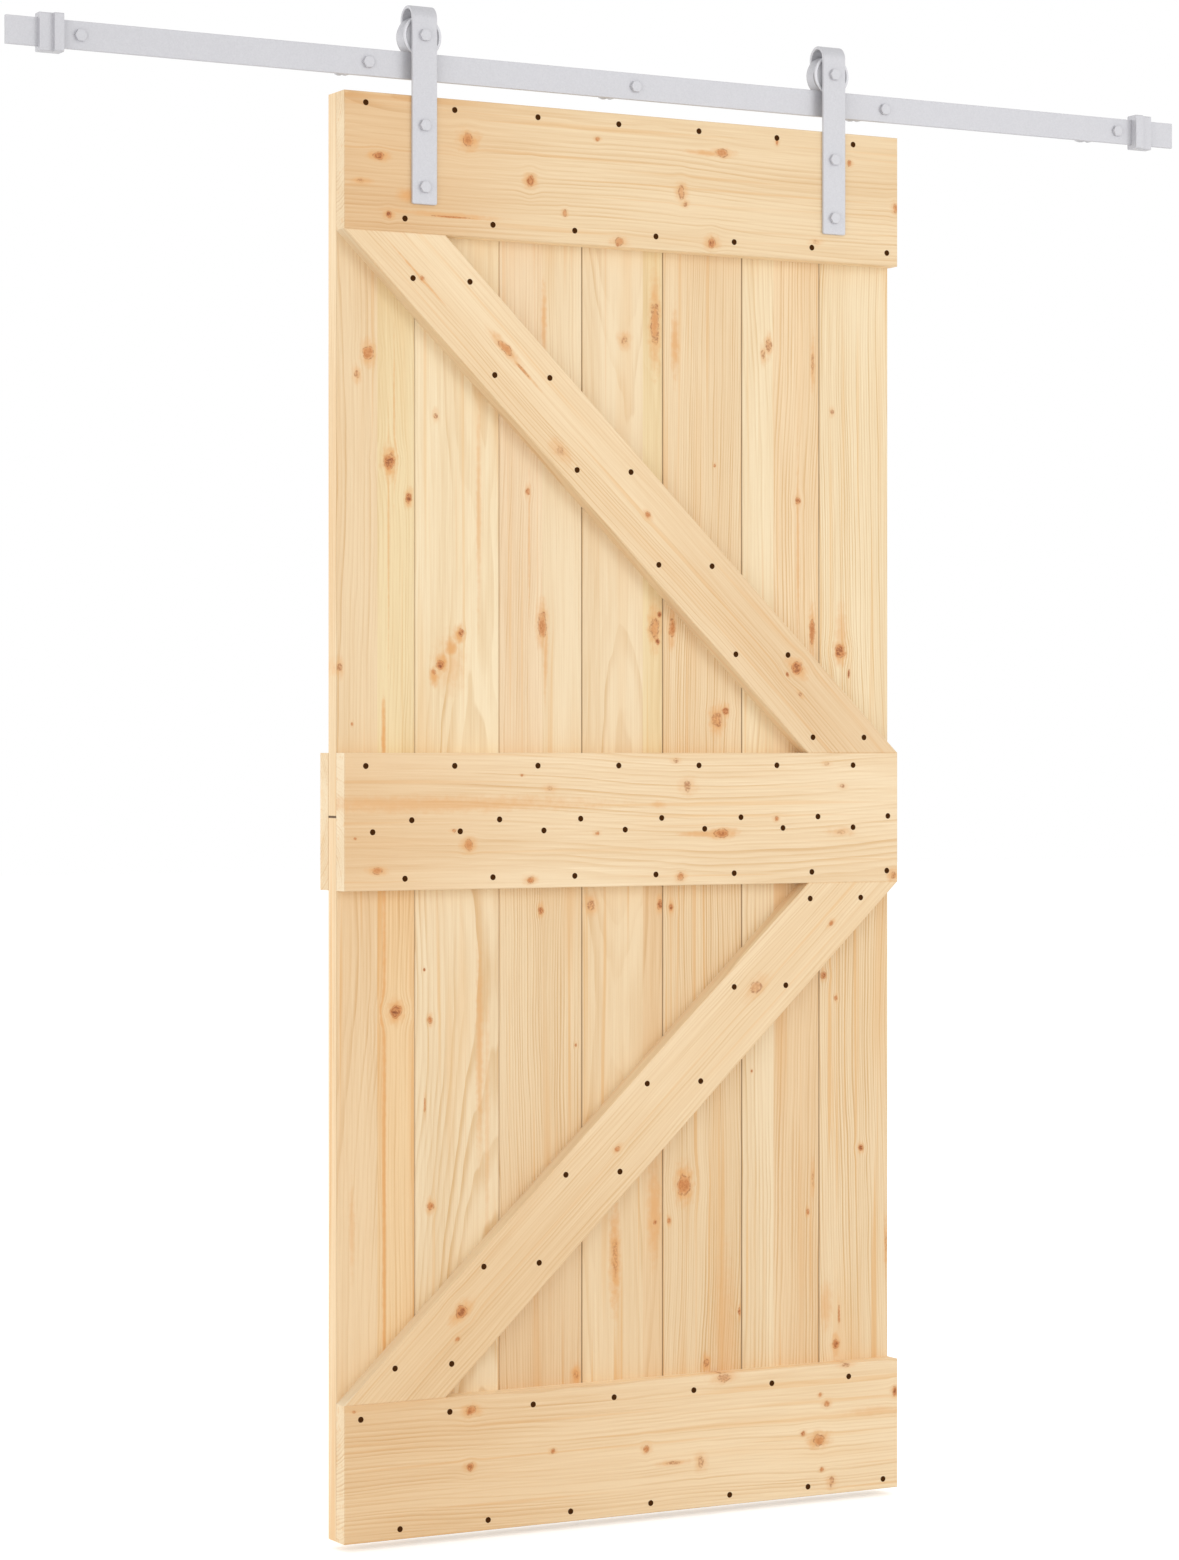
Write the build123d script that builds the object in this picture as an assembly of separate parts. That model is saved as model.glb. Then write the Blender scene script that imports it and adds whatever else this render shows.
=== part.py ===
from build123d import *
import os

# Sliding plank door hung from a flat rail, in millimetres.
# X runs along the rail, to the right as seen from the front. Y runs into the wall, Z up.
# The origin is on the wall, at the middle spacer's axis, so the wall is the plane Y = 0.

# Door leaf
door_width = 950
door_height = 2100
board_thickness = 28
batten_height = 200
middle_batten_drop = 957
plank_joint_drop = 93
brace_foot = 163
plank_columns = 7
outer_plank_width = 126.5
tongue_thickness = 8
tongue_length = 7
tongue_clearance = 0.4
plank_chamfer = 1.5
edge_break = 1.2

# Rail and the bolts that hold it
rail_length = 2000
rail_height = 40
rail_thickness = 6
rail_edge_break = 0.6
rail_gap = 25
wall_gap = 10
wall_bolt_count = 5
end_bolt_inset = 110
wall_screw_length = 22
wall_screw_diameter = 9
wall_screw_point = 14
spacer_diameter = 16

# Hexagon bolts and nuts
bolt_diameter = 10
bolt_clearance = 0.25
hex_width = 16
hex_corner_cut = 0.9
hex_face_diameter = 15.2
head_height = 4.8
nut_height = 8
nut_clearance = 0.1
bolt_overrun = 3

# Hangers, bent from flat bar
hanger_joint_offset = 3.5
hanger_shift = 4
strap_width = 40
strap_thickness = 5
strap_edge_break = 0.8
loop_width = 31
crown_room = 9.5
back_leg_drop = 20
back_leg_corner = 14
upper_bolt_drop = 43
strap_bolt_spacing = 90
strap_tail = 25
strap_corner = 3

# Grooved wheels
tread_radius = 22.8
groove_depth = 8.1
groove_side_room = 2
flange_rim = 2.5
wheel_width = 26
hub_radius = 11
hub_gap = 0.5
web_recess = 2
web_rim = 4
wheel_edge_break = 1.2
running_clearance = 0.05
rolling_gap = 0.3

# End stops
stop_inset = 64
stop_width = 34
stop_fit = 0.1
clamp_width = 20
clamp_wall = 7
stop_back_wall = 5
ridge_wall = 7
ridge_front = 13
stop_edge_break = 1.5

# The door's place on the rail at rest, left of the rail's middle
door_rest_x = -14

# Levels in depth, from the front to the wall
batten_y = -(wall_gap + 3 * board_thickness)
plank_y = batten_y + board_thickness
plank_back_y = plank_y + board_thickness
rail_y = batten_y + loop_width / 2
rail_front_y = rail_y - rail_thickness / 2
rail_back_y = rail_y + rail_thickness / 2
strap_front_y = batten_y - strap_thickness
loop_outer_radius = loop_width / 2 + strap_thickness
back_leg_y = rail_y + loop_outer_radius

# Levels in height, from the rail's middle line
rail_top = rail_height / 2
door_top = -rail_top - rail_gap
door_bottom = door_top - door_height
top_batten_z = door_top - batten_height
middle_batten_top = door_top - middle_batten_drop
plank_joint_z = middle_batten_top - plank_joint_drop
middle_batten_z = middle_batten_top - batten_height
bottom_batten_top = door_bottom + batten_height
axle_z = rail_top + rolling_gap + tread_radius
flange_radius = tread_radius + groove_depth
loop_centre_z = axle_z + flange_radius + crown_room - loop_width / 2
strap_bolt_levels = [door_top - upper_bolt_drop, door_top - upper_bolt_drop - strap_bolt_spacing]
strap_bottom = strap_bolt_levels[-1] - strap_tail

# Places along the rail
door_left = door_rest_x - door_width / 2
door_right = door_rest_x + door_width / 2
sides = {"left": -1, "right": 1}
hanger_reach = door_width / 2 - outer_plank_width + hanger_joint_offset
hanger_x = {side: door_rest_x + hanger_shift + sign * hanger_reach for side, sign in sides.items()}
wall_bolt_pitch = (rail_length - 2 * end_bolt_inset) / (wall_bolt_count - 1)
wall_bolt_x = [(i - (wall_bolt_count - 1) / 2) * wall_bolt_pitch for i in range(wall_bolt_count)]
stop_place = rail_length / 2 - stop_inset

bolt_radius = bolt_diameter / 2
bolt_hole_radius = bolt_radius + bolt_clearance
wheel_bore_radius = bolt_radius + running_clearance


def slab(x_range, y_range, z_range):
    """Box between two corners."""
    spans = (x_range, y_range, z_range)
    middle = [(low + high) / 2 for low, high in spans]
    size = [high - low for low, high in spans]
    return Pos(*middle) * Box(*size)


def turned(points):
    """Solid of revolution about the Y axis, from (radius, y) points."""
    outline = Polyline(*points, close=True)
    return revolve(make_face(outline), Axis.Y)


def drill(solid, x, z, radius, y_range):
    """Hole through a solid along Y."""
    low, high = y_range
    tool = Pos(x, (low + high) / 2, z) * Rot(90, 0, 0) * Cylinder(radius, high - low)
    return solid - tool


def drill_for_hangers(solid):
    """Holes for the four bolts that hold the hangers to the leaf."""
    for x in hanger_x.values():
        for z in strap_bolt_levels:
            solid = drill(solid, x, z, bolt_hole_radius, (batten_y, plank_back_y))
    return solid


def hexagon(height):
    """Hexagonal prism from Y = 0 towards the front, flats level, with its front corners cut."""
    prism = extrude(Plane.XZ * RegularPolygon(hex_width / 2, 6, major_radius=False), height)
    corner_radius = hex_width / 3**0.5
    cone = turned([
        (0, 0),
        (corner_radius, 0),
        (corner_radius, hex_corner_cut - height),
        (hex_face_diameter / 2, -height),
        (0, -height),
    ])
    return prism & cone


def hex_bolt(shank_length):
    """Bolt with its head in front of Y = 0 and its shank running back from there."""
    shank = turned([(0, 0), (bolt_radius, 0), (bolt_radius, shank_length), (0, shank_length)])
    return hexagon(head_height) + shank


def hex_nut():
    """Nut from Y = 0 towards the wall, chamfered on its free face."""
    blank = mirror(hexagon(nut_height), about=Plane.XZ)
    return drill(blank, 0, 0, bolt_radius + nut_clearance, (0, nut_height))


def plank_edges(column):
    """Left and right edge of a plank column."""
    inner_width = (door_width - 2 * outer_plank_width) / (plank_columns - 2)
    first_joint = door_left + outer_plank_width
    left = door_left if column == 0 else first_joint + (column - 1) * inner_width
    last = column == plank_columns - 1
    right = door_right if last else first_joint + column * inner_width
    return left, right


def plank(column, bottom, top):
    """Tongued and grooved plank, groove on its left and tongue on its right."""
    left, right = plank_edges(column)
    middle_y = (plank_y + plank_back_y) / 2
    groove_half = tongue_thickness / 2 + tongue_clearance
    groove_end = left + tongue_length + tongue_clearance
    tongue_half = tongue_thickness / 2
    outline = [(left + plank_chamfer, plank_y), (left, plank_y + plank_chamfer)]
    if column > 0:
        outline += [
            (left, middle_y - groove_half),
            (groove_end, middle_y - groove_half),
            (groove_end, middle_y + groove_half),
            (left, middle_y + groove_half),
        ]
    outline += [(left, plank_back_y - plank_chamfer), (left + plank_chamfer, plank_back_y)]
    outline += [(right - plank_chamfer, plank_back_y), (right, plank_back_y - plank_chamfer)]
    if column < plank_columns - 1:
        outline += [
            (right, middle_y + tongue_half),
            (right + tongue_length, middle_y + tongue_half),
            (right + tongue_length, middle_y - tongue_half),
            (right, middle_y - tongue_half),
        ]
    outline += [(right, plank_y + plank_chamfer), (right - plank_chamfer, plank_y)]
    face = make_face(Polyline(*outline, close=True))
    return Pos(0, 0, bottom) * extrude(face, top - bottom, dir=(0, 0, 1))


def batten(bottom, front):
    """Level board across the whole leaf, its outer face's edges broken."""
    board = slab((door_left, door_right), (front, front + board_thickness), (bottom, bottom + batten_height))
    outer = board.faces().sort_by(Axis.Y)[0 if front == batten_y else -1]
    return chamfer(outer.edges(), edge_break)


def brace(top, top_left, bottom, bottom_left):
    """Diagonal board, cut level at both ends so that it butts against the battens."""
    outline = Polyline(
        (top_left, plank_y, top),
        (top_left + brace_foot, plank_y, top),
        (bottom_left + brace_foot, plank_y, bottom),
        (bottom_left, plank_y, bottom),
        close=True,
    )
    board = extrude(make_face(outline), board_thickness, dir=(0, -1, 0))
    return chamfer(board.faces().sort_by(Axis.Y)[0].edges(), edge_break)


def hanger_strap(x):
    """Flat bar bent over the rail: long front leg on the leaf, loop, short leg behind the wheel."""
    start = x - strap_width / 2
    back_leg_end = axle_z - back_leg_drop
    front_in = batten_y
    back_in = rail_y + loop_width / 2
    crown = loop_centre_z + loop_outer_radius
    outline = [
        Line((start, strap_front_y, strap_bottom), (start, strap_front_y, loop_centre_z)),
        ThreePointArc(
            (start, strap_front_y, loop_centre_z),
            (start, rail_y, crown),
            (start, back_leg_y, loop_centre_z),
        ),
        Line((start, back_leg_y, loop_centre_z), (start, back_leg_y, back_leg_end)),
        Line((start, back_leg_y, back_leg_end), (start, back_in, back_leg_end)),
        Line((start, back_in, back_leg_end), (start, back_in, loop_centre_z)),
        ThreePointArc(
            (start, back_in, loop_centre_z),
            (start, rail_y, crown - strap_thickness),
            (start, front_in, loop_centre_z),
        ),
        Line((start, front_in, loop_centre_z), (start, front_in, strap_bottom)),
        Line((start, front_in, strap_bottom), (start, strap_front_y, strap_bottom)),
    ]
    bar = extrude(make_face(outline), strap_width, dir=(1, 0, 0))
    ends = bar.edges().filter_by(Axis.Y).group_by(Axis.Z)
    bar = fillet(ends[0], strap_corner)
    ends = bar.edges().filter_by(Axis.Y).group_by(Axis.Z)
    bar = fillet(ends[-1], back_leg_corner)
    for face in bar.faces().filter_by(Axis.X):
        long_edges = face.edges() - face.edges().filter_by(Axis.Y)
        bar = chamfer(long_edges, strap_edge_break)
    bar = drill(bar, x, axle_z, bolt_hole_radius, (strap_front_y, back_leg_y))
    for z in strap_bolt_levels:
        bar = drill(bar, x, z, bolt_hole_radius, (strap_front_y, batten_y))
    return bar


def wheel(x):
    """Wheel with two flanges, turned about the axle."""
    half = wheel_width / 2
    hub_half = loop_width / 2 - hub_gap
    groove_half = rail_thickness / 2 + groove_side_room
    web_outer = flange_radius - web_rim
    right_half = [
        (tread_radius, groove_half),
        (flange_radius, half - flange_rim),
        (flange_radius, half - wheel_edge_break),
        (flange_radius - wheel_edge_break, half),
        (web_outer, half),
        (web_outer - web_recess, half - web_recess),
        (hub_radius, half - web_recess),
        (hub_radius, hub_half),
        (wheel_bore_radius, hub_half),
    ]
    left_half = [(radius, -y) for radius, y in reversed(right_half)]
    return Pos(x, rail_y, axle_z) * turned(left_half + right_half)


def axle(x):
    """Bolt through both legs of the hanger, on which the wheel turns."""
    length = back_leg_y + nut_height + bolt_overrun - strap_front_y
    return Pos(x, strap_front_y, axle_z) * hex_bolt(length)


def hanger_bolts(x):
    """Two bolts through the strap, the top batten and the planks."""
    length = plank_back_y + nut_height + bolt_overrun - strap_front_y
    return [Pos(x, strap_front_y, z) * hex_bolt(length) for z in strap_bolt_levels]


def hanger_nuts(x):
    """Nuts on the axle and on the two hanger bolts."""
    nuts = [Pos(x, plank_back_y, z) * hex_nut() for z in strap_bolt_levels]
    nuts.append(Pos(x, back_leg_y, axle_z) * hex_nut())
    return nuts


def rail():
    """Flat bar on edge, drilled for the wall bolts."""
    bar = slab(
        (-rail_length / 2, rail_length / 2), (rail_front_y, rail_back_y), (-rail_height / 2, rail_height / 2)
    )
    bar = chamfer(bar.edges().filter_by(Axis.X), rail_edge_break)
    for x in wall_bolt_x:
        bar = drill(bar, x, 0, bolt_hole_radius, (rail_front_y, rail_back_y))
    return bar


def rail_spacer(x):
    """Tube that holds the rail off the wall."""
    tube = Pos(x, rail_back_y / 2, 0) * Rot(90, 0, 0) * Cylinder(spacer_diameter / 2, -rail_back_y)
    return drill(tube, x, 0, bolt_hole_radius, (rail_back_y, 0))


def rail_bolt(x):
    """Bolt through the rail and its spacer, ending in a wood screw in the wall."""
    screw_radius = wall_screw_diameter / 2
    wall_y = -rail_front_y
    shank = turned([
        (0, 0),
        (bolt_radius, 0),
        (bolt_radius, wall_y),
        (screw_radius, wall_y),
        (screw_radius, wall_y + wall_screw_length),
        (0, wall_y + wall_screw_length + wall_screw_point),
    ])
    return Pos(x, rail_front_y, 0) * (hexagon(head_height) + shank)


def left_end_stop():
    """Clamp around the rail with a taller ridge on the side that meets the hanger."""
    outer = -stop_place - stop_width / 2
    step = outer + clamp_width
    inner = outer + stop_width
    back = rail_back_y + stop_back_wall
    clamp_half = rail_height / 2 + clamp_wall
    ridge_half = rail_height / 2 + ridge_wall
    clamp = slab((outer, step), (rail_front_y - clamp_wall, back), (-clamp_half, clamp_half))
    clamp = chamfer(clamp.edges().filter_by(Axis.X), stop_edge_break)
    ridge = slab((step, inner), (rail_front_y - ridge_front, back), (-ridge_half, ridge_half))
    ridge = chamfer(ridge.edges().filter_by(Axis.X), stop_edge_break)
    slot = slab(
        (outer, inner),
        (rail_front_y - stop_fit, rail_back_y + stop_fit),
        (-rail_height / 2 - stop_fit, rail_height / 2 + stop_fit),
    )
    return clamp + ridge - slot


pieces = {}

for column in range(plank_columns):
    upper = plank(column, plank_joint_z, door_top)
    pieces[f"upper_plank_{column + 1}"] = drill_for_hangers(upper)
    pieces[f"lower_plank_{column + 1}"] = plank(column, door_bottom, plank_joint_z)

pieces["top_batten"] = drill_for_hangers(batten(top_batten_z, batten_y))
pieces["middle_batten"] = batten(middle_batten_z, batten_y)
pieces["bottom_batten"] = batten(door_bottom, batten_y)
pieces["back_batten"] = batten(middle_batten_z, plank_back_y)
pieces["upper_brace"] = brace(top_batten_z, door_left, middle_batten_top, door_right - brace_foot)
pieces["lower_brace"] = brace(middle_batten_z, door_right - brace_foot, bottom_batten_top, door_left)

for side, x in hanger_x.items():
    pieces[f"{side}_hanger_strap"] = hanger_strap(x)
    pieces[f"{side}_wheel"] = wheel(x)
    pieces[f"{side}_axle"] = axle(x)
    pieces[f"{side}_hanger_bolts"] = Compound(children=hanger_bolts(x))
    pieces[f"{side}_hanger_nuts"] = Compound(children=hanger_nuts(x))

pieces["rail"] = rail()
for number, x in enumerate(wall_bolt_x, 1):
    pieces[f"rail_spacer_{number}"] = rail_spacer(x)
    pieces[f"rail_bolt_{number}"] = rail_bolt(x)

pieces["left_end_stop"] = left_end_stop()
pieces["right_end_stop"] = mirror(left_end_stop(), about=Plane.YZ)

os.makedirs("parts", exist_ok=True)
for node, shape in pieces.items():
    export_step(shape, f"parts/{node}.step")
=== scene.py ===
import bmesh
import bpy
import math
from mathutils import Matrix, Vector


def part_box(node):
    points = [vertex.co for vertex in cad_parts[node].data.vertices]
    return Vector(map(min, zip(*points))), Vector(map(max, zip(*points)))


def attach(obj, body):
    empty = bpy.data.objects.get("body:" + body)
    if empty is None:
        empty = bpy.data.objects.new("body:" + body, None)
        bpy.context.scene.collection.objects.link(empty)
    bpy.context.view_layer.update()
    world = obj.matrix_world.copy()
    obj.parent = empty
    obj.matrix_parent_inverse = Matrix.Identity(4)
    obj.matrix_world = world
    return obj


# Sliding plank door on a flat rail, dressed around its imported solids, in metres
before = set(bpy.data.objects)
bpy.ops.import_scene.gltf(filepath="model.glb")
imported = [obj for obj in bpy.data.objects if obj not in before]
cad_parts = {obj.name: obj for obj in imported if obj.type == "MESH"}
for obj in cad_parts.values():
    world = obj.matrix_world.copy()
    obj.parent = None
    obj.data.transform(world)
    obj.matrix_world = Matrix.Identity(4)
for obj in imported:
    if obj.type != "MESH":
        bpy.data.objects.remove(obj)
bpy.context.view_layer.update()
mm = 0.001

leafLeft, leafFront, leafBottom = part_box("bottom_batten")[0]
leafRight, _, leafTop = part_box("top_batten")[1]
print("frame loaded:", len(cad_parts), "solids")


# Small helpers for meshes and shader nodes
def meshObject(bm, name, material):
    mesh = bpy.data.meshes.new(name)
    bm.to_mesh(mesh)
    bm.free()
    mesh.materials.append(material)
    piece = bpy.data.objects.new(name, mesh)
    bpy.context.scene.collection.objects.link(piece)
    return piece


def feed(tree, socket, value):
    if isinstance(value, bpy.types.NodeSocket):
        tree.links.new(value, socket)
    else:
        socket.default_value = value


def calc(tree, operation, *values):
    node = tree.nodes.new("ShaderNodeMath")
    node.operation = operation
    for socket, value in zip(node.inputs, values):
        feed(tree, socket, value)
    return node.outputs[0]


def centred(tree, value, span):    # noise about a half becomes a shift about nothing
    return calc(tree, "MULTIPLY", calc(tree, "SUBTRACT", value, 0.5), span)


def vectorCalc(tree, operation, *values):
    node = tree.nodes.new("ShaderNodeVectorMath")
    node.operation = operation
    for socket, value in zip(node.inputs, values):
        feed(tree, socket, value)
    return node.outputs["Value" if operation == "LENGTH" else "Vector"]


def smoothRange(tree, value, start, end, startOut=0.0, endOut=1.0):
    node = tree.nodes.new("ShaderNodeMapRange")
    node.interpolation_type = "SMOOTHSTEP"
    labels = ("Value", "From Min", "From Max", "To Min", "To Max")
    for label, item in zip(labels, (value, start, end, startOut, endOut)):
        feed(tree, node.inputs[label], item)
    return node.outputs["Result"]


def noise(tree, vector, stretch, detail=2.0, rough=0.5):
    node = tree.nodes.new("ShaderNodeTexNoise")
    feed(tree, node.inputs["Vector"], vectorCalc(tree, "MULTIPLY", vector, stretch))
    node.inputs["Scale"].default_value = 1.0
    node.inputs["Detail"].default_value = detail
    node.inputs["Roughness"].default_value = rough
    return node


def mixed(tree, factor, first, second, blend="MIX"):
    node = tree.nodes.new("ShaderNodeMix")
    node.data_type = "RGBA"
    node.blend_type = blend
    # the node has a set of sockets for each type, and these are the ones for colours
    feed(tree, node.inputs[0], factor)
    feed(tree, node.inputs[6], first)
    feed(tree, node.inputs[7], second)
    return node.outputs[2]


lookOutputs = {"Color": "Color", "Roughness": "Float", "Height": "Float"}


def newGroup(name, inputs, outputs):
    group = bpy.data.node_groups.new(name, "ShaderNodeTree")
    for direction, sockets in (("INPUT", inputs), ("OUTPUT", outputs)):
        for label, kind in sockets.items():
            group.interface.new_socket(label, in_out=direction, socket_type="NodeSocket" + kind)
    given = group.nodes.new("NodeGroupInput").outputs
    made = group.nodes.new("NodeGroupOutput").inputs
    return group, given, made


def placeGroup(tree, group, values):
    node = tree.nodes.new("ShaderNodeGroup")
    node.node_tree = group
    for label, value in values.items():
        feed(tree, node.inputs[label], value)
    return node.outputs


def newMaterial(name):
    material = bpy.data.materials.new(name)
    material.use_nodes = True
    tree = material.node_tree
    tree.nodes.clear()
    shader = tree.nodes.new("ShaderNodeBsdfPrincipled")
    feed(tree, tree.nodes.new("ShaderNodeOutputMaterial").inputs["Surface"], shader.outputs[0])
    objectPlace = tree.nodes.new("ShaderNodeTexCoord").outputs["Object"]
    return material, tree, shader, objectPlace


edgeTurn = (0.3, 0.6)    # the front shares between which an edge turns into a face


def frontShare(tree):    # 1 on faces to the front and back, 0 on edges
    facing = tree.nodes.new("ShaderNodeSeparateXYZ")
    feed(tree, facing.inputs[0], tree.nodes.new("ShaderNodeNewGeometry").outputs["Normal"])
    return calc(tree, "ABSOLUTE", facing.outputs[1])


def addBump(tree, shader, height, distance, strength):
    bump = tree.nodes.new("ShaderNodeBump")
    bump.inputs["Distance"].default_value = distance
    bump.inputs["Strength"].default_value = strength
    feed(tree, bump.inputs["Height"], height)
    feed(tree, shader.inputs["Normal"], bump.outputs["Normal"])


# Camera at the photograph's place, level, looking a little to the right
photoCamera = {
    "place": (-2.944, -5.3055, -1.002),
    "turn": 28.74,        # degrees away from straight on
    "lens": 92.0,
    "shiftY": -0.0174,    # the horizon lies a little above the picture's middle
}


def setCamera():
    data = bpy.data.cameras.new("photoCamera")
    data.lens = photoCamera["lens"]
    data.shift_y = photoCamera["shiftY"]
    camera = bpy.data.objects.new("photoCamera", data)
    camera.location = photoCamera["place"]
    camera.rotation_euler = (math.radians(90), 0, math.radians(-photoCamera["turn"]))
    bpy.context.scene.collection.objects.link(camera)
    bpy.context.scene.camera = camera


# Soft studio light at a plain level, and a pale floor that shows white but keeps the shadow
studio = {
    "worldLevel": 0.80,
    "worldTint": (1.0, 0.99, 0.975),
    "floorDrop": 0.012,       # the leaf hangs this far above the floor
    "floorSize": 60.0,
    "floorGrey": 0.86,
    "floorLift": 0.42,        # makes the unshaded floor white for the camera
    "lamps": {                # place, size, watts
        "keyLamp": ((3.2, -5.4, 0.4), 3.6, 96.0),
        "fillLamp": ((-4.6, -3.4, -0.3), 3.2, 56.0),
        "backLamp": ((-1.2, 4.6, 1.8), 3.2, 55.0),
    },
}


def seenRay(tree):    # camera, mirror and glass rays
    path = tree.nodes.new("ShaderNodeLightPath")
    ray = path.outputs["Is Camera Ray"]
    for label in ("Is Glossy Ray", "Is Transmission Ray"):
        ray = calc(tree, "MAXIMUM", ray, path.outputs[label])
    return ray


def setStudio():
    world = bpy.data.worlds.new("studioWorld")
    world.use_nodes = True
    bpy.context.scene.world = world
    tree = world.node_tree
    tree.nodes.clear()
    seen = tree.nodes.new("ShaderNodeBackground")
    seen.inputs["Color"].default_value = (1, 1, 1, 1)
    lit = tree.nodes.new("ShaderNodeBackground")
    lit.inputs["Color"].default_value = (*studio["worldTint"], 1)
    lit.inputs["Strength"].default_value = studio["worldLevel"]
    mix = tree.nodes.new("ShaderNodeMixShader")
    feed(tree, mix.inputs[0], seenRay(tree))
    feed(tree, mix.inputs[1], lit.outputs[0])
    feed(tree, mix.inputs[2], seen.outputs[0])
    feed(tree, tree.nodes.new("ShaderNodeOutputWorld").inputs["Surface"], mix.outputs[0])

    target = Vector(((leafLeft + leafRight) / 2, leafFront, (leafTop + leafBottom) / 2))
    for name, (place, size, watts) in studio["lamps"].items():
        data = bpy.data.lights.new(name, "AREA")
        data.size = size
        data.energy = watts
        lamp = bpy.data.objects.new(name, data)
        lamp.location = place
        lamp.rotation_euler = (target - Vector(place)).to_track_quat("-Z", "Y").to_euler()
        bpy.context.scene.collection.objects.link(lamp)

    bm = bmesh.new()
    bmesh.ops.create_grid(bm, x_segments=1, y_segments=1, size=studio["floorSize"] / 2)
    bmesh.ops.translate(bm, verts=bm.verts, vec=(0, 0, leafBottom - studio["floorDrop"]))
    floor = meshObject(bm, "studioFloor", floorPaint())


def floorPaint():
    paint = bpy.data.materials.new("floorPaint")
    paint.use_nodes = True
    tree = paint.node_tree
    tree.nodes.clear()
    matt = tree.nodes.new("ShaderNodeBsdfDiffuse")
    matt.inputs["Color"].default_value = (*[studio["floorGrey"]] * 3, 1)
    lift = tree.nodes.new("ShaderNodeEmission")
    feed(tree, lift.inputs["Strength"], calc(tree, "MULTIPLY", seenRay(tree), studio["floorLift"]))
    both = tree.nodes.new("ShaderNodeAddShader")
    feed(tree, both.inputs[0], matt.outputs[0])
    feed(tree, both.inputs[1], lift.outputs[0])
    feed(tree, tree.nodes.new("ShaderNodeOutputMaterial").inputs["Surface"], both.outputs[0])
    return paint


# Planed pine: board coordinates are X along the grain, Y through the board, Z across it
pine = {
    "early": (0.865, 0.683, 0.449, 1),
    "late": (0.690, 0.450, 0.225, 1),
    "streak": (0.770, 0.470, 0.210, 1),
    "halo": (0.720, 0.365, 0.130, 1),
    "knotRim": (0.580, 0.225, 0.070, 1),
    "knotLine": (0.330, 0.115, 0.040, 1),
    "knotHeart": (0.235, 0.062, 0.017, 1),
    "jointGap": (0.320, 0.205, 0.110, 1),
    "endGap": (0.130, 0.075, 0.035, 1),
    "jointSpan": (0.00034, 0.0017),    # metres from a plank's edge, from dark to clear
    "endSpan": (0.00102, 0.00221),     # the same from a plank's end
    "slowWander": 0.042,      # how far the rings wander along a board
    "fineWander": 0.009,
    "bumpDepth": 0.0005,
    "bumpStrength": 0.5,
    "specular": 0.28,
    # painted light: edges and ends of planks and battens are made lighter than their faces
    "paintedSideShading": 1.14,
    "paintedSideTint": (1.0, 1.03, 1.07),    # painted light on edges and ends is less yellow than on the faces
    "seedShift": (7.3, 3.1, 5.7),     # metres that a seed moves a board through the noise
    "stripSeed": 4.7,                 # added for a board's second strip
    "ringUneven": 1.6,                # in rings
    "fibreTone": 0.9,
    "streaks": 0.4,
    "knotRings": 24.0,
    "knotRingSway": 5.0,
    "roughness": 0.50,
    "fibreRough": 0.22,
    "lateSheen": 0.10,
    "knotSheen": 0.12,
    "lateHeight": 0.5,
    "knotHeight": 0.4,
}

# How fast each noise changes along, through and across a board
grainNoise = {
    "drift": (1.0, 0.2, 0.2),
    "wiggle": (5.0, 24.0, 24.0),
    "uneven": (70.0, 1.0, 1.0),
    "fade": (2.6, 15.0, 15.0),
    "fibre": (7.0, 420.0, 420.0),
    "broad": (1.0, 11.0, 11.0),
    "resin": (1.3, 30.0, 30.0),
    "resinLine": (1.5, 105.0, 105.0),
    "mottle": (210.0, 210.0, 330.0),
    "ragged": (90.0, 90.0, 110.0),
}

# Where each effect starts and ends and, if not 0 and 1, what it puts out there
grainRange = {
    "lateRise": (0.3, 0.9),
    "lateFall": (1.0, 0.92),
    "ringTone": (0.0, 1.0, 0.25, 1.0),
    "fade": (0.34, 0.66, 0.35, 1.3),
    "resin": (0.58, 0.74, 0.0, 0.6),
    "resinLine": (0.60, 0.73),
    "broad": (0.3, 0.72, 0.0, 0.36),
    "lineRise": (0.03, 0.14),
    "lineFall": (0.34, 0.18),
    "lineMottle": (0.35, 0.65, 0.0, 0.7),
    "heart": (0.35, 0.85),
    "heartMottle": (0.34, 0.64),
    "heartRings": (-1.0, 0.6, 0.35, 1.0),
    "rim": (0.0, 0.62),
    "rimMottle": (0.25, 0.65, 0.5, 1.0),
}

# A knot's form, in shares of its half size
knotForm = {
    "ragged": 0.9,
    "core": (1.08, 0.36),
    "halo": (1.15, 0.1),
    "haloShare": (0.42, 1.0, 0.66),    # the halo reaches past the core, most along the grain
    "pullShare": 0.5,
    "pull": (0, 0, 0.75),              # across the grain alone
    "halfDepth": 1000.0,               # metres, as a knot goes right through its board
}


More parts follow.
